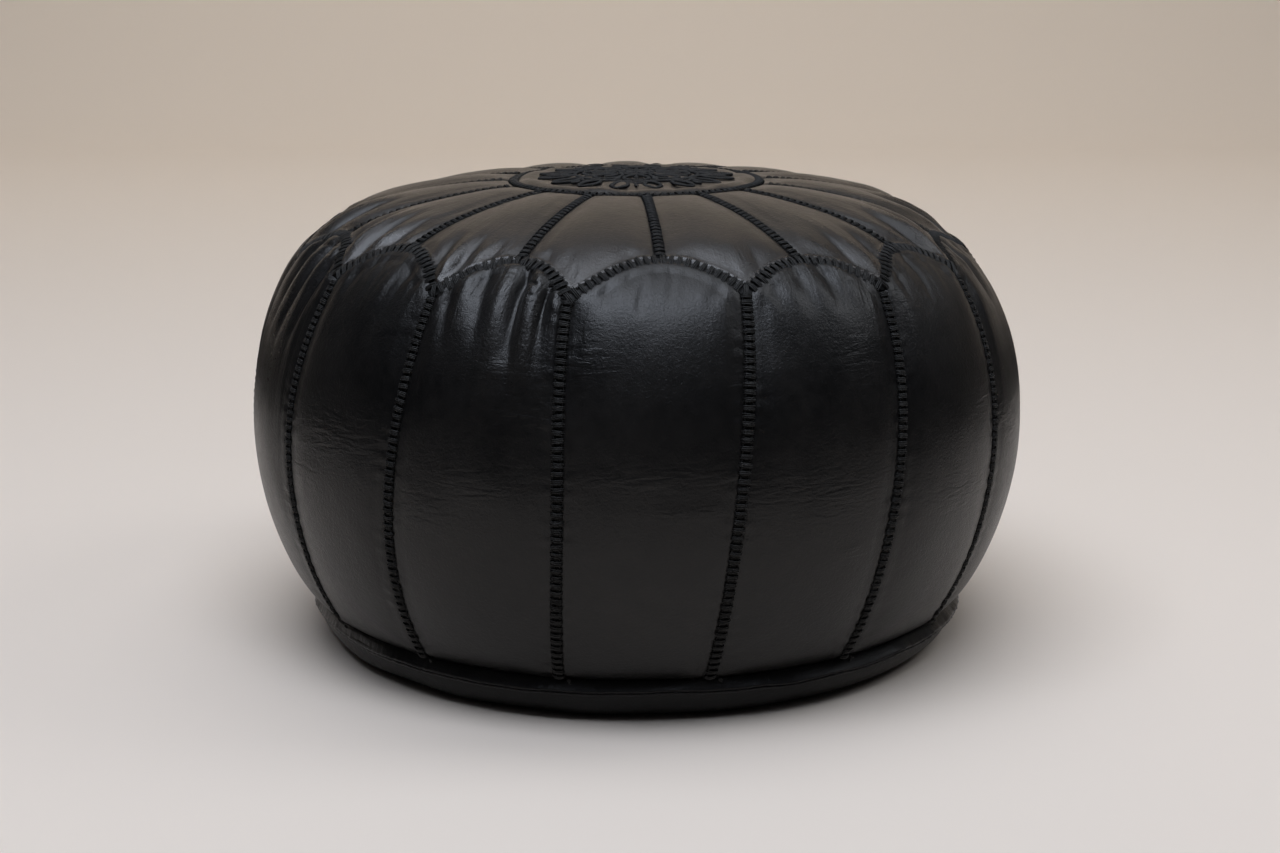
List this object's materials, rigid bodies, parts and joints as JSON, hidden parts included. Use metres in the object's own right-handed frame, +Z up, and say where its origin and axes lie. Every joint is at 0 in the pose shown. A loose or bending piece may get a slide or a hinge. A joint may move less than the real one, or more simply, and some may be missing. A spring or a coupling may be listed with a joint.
{
  "type": "leather floor pouf",
  "caption": "Round stuffed leather floor pouf with arched side panels, crown petals, an embroidered medallion and a zipped base.",
  "frame": {"origin": "centre of the base at the height of the face that it stands on", "axes": "+Z up through the medallion, -Y towards the front, the zip lies along X with its closed end at +X"},
  "size_m": [0.5269, 0.5263, 0.3117],
  "materials": {
    "side_leather": "smooth black leather, semi-gloss, with fine creases",
    "crown_leather": "smooth black leather, semi-gloss, softly gathered at the seams",
    "base_leather": "smooth black leather, worn a little on the standing ring",
    "seam_thread": "black silky thread in raised ladder stitches",
    "embroidery_thread": "black silky thread in raised satin stitch",
    "zip_tape": "black woven herringbone tape",
    "zip_teeth": "black moulded plastic",
    "zip_metal": "black enamel on zinc, worn bright at the edges",
    "liner_cloth": "plain unbleached cotton",
    "stuffing_fibre": "loose fibre and rag filling"
  },
  "bodies": {
    "cover": {"side_panel_01": "side_leather", "side_panel_02": "side_leather", "side_panel_03": "side_leather", "side_panel_04": "side_leather", "side_panel_05": "side_leather", "side_panel_06": "side_leather", "side_panel_07": "side_leather", "side_panel_08": "side_leather", "side_panel_09": "side_leather", "side_panel_10": "side_leather", "side_panel_11": "side_leather", "side_panel_12": "side_leather", "side_panel_13": "side_leather", "side_panel_14": "side_leather", "side_panel_15": "side_leather", "crown_petal_01": "crown_leather", "crown_petal_02": "crown_leather", "crown_petal_03": "crown_leather", "crown_petal_04": "crown_leather", "crown_petal_05": "crown_leather", "crown_petal_06": "crown_leather", "crown_petal_07": "crown_leather", "crown_petal_08": "crown_leather", "crown_petal_09": "crown_leather", "crown_petal_10": "crown_leather", "crown_petal_11": "crown_leather", "crown_petal_12": "crown_leather", "crown_petal_13": "crown_leather", "crown_petal_14": "crown_leather", "crown_petal_15": "crown_leather", "medallion": "crown_leather", "medallion_embroidery": "embroidery_thread", "medallion_ring_stitching": "seam_thread", "crown_seam_stitching": "seam_thread", "shoulder_seam_stitching": "seam_thread", "side_seam_stitching": "seam_thread", "base_lip": "base_leather", "base_panel_front": "base_leather", "base_panel_back": "base_leather", "zip_end_patch_left": "base_leather", "zip_end_patch_right": "base_leather", "zip_tape_front": "zip_tape", "zip_tape_back": "zip_tape", "zip_teeth_front": "zip_teeth", "zip_teeth_back": "zip_teeth", "zip_stop_closed_end": "zip_metal", "zip_stop_open_end": "zip_metal", "inner_liner": "liner_cloth", "stuffing": "stuffing_fibre"},
    "slider": {"zip_slider": "zip_metal", "zip_slider_pin": "zip_metal"},
    "pull_tab": {"zip_pull_tab": "zip_metal"}
  },
  "joints": [
    {"name": "zip_slider_travel", "type": "slide", "parent": "cover", "child": "slider", "axis": [-1, 0, 0], "range_m": [0, 0.29]},
    {"name": "pull_tab_swing", "type": "hinge", "parent": "slider", "child": "pull_tab", "pos_m": [0.148, 0, 0.005], "axis": [0, -1, 0], "range_deg": [0, 170]}
  ]
}
